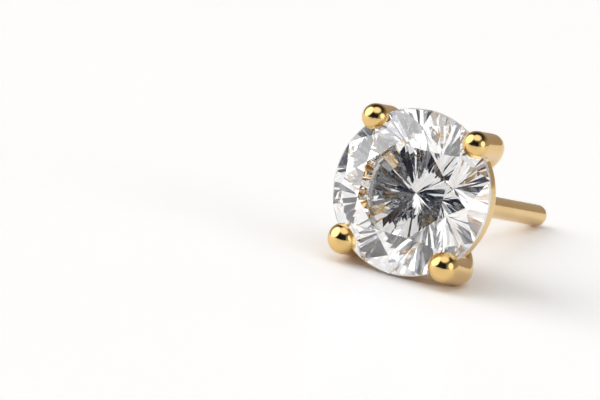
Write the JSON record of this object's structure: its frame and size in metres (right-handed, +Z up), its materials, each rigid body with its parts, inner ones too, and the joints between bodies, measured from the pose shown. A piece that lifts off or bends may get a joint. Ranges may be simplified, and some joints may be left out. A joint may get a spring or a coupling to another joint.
{
  "type": "stud earring",
  "caption": "Solitaire stud earring: a round brilliant-cut stone in a ball-tipped claw setting with a thin rim and a straight ear post with a rounded end.",
  "frame": {"origin": "on the table, under the middle of the bounding box, with the stud lying on its two lower claws and the end of its post", "axes": "+Z up from the table; the stone faces -Y and leans back, and the post runs towards +Y; X goes across the stone"},
  "size_m": [0.0066, 0.0158, 0.0065],
  "materials": {
    "stone": "clear faceted stone, polished",
    "gold": "yellow gold, polished"
  },
  "bodies": {
    "root": {"stone": "stone", "setting": "gold"}
  },
  "joints": []
}
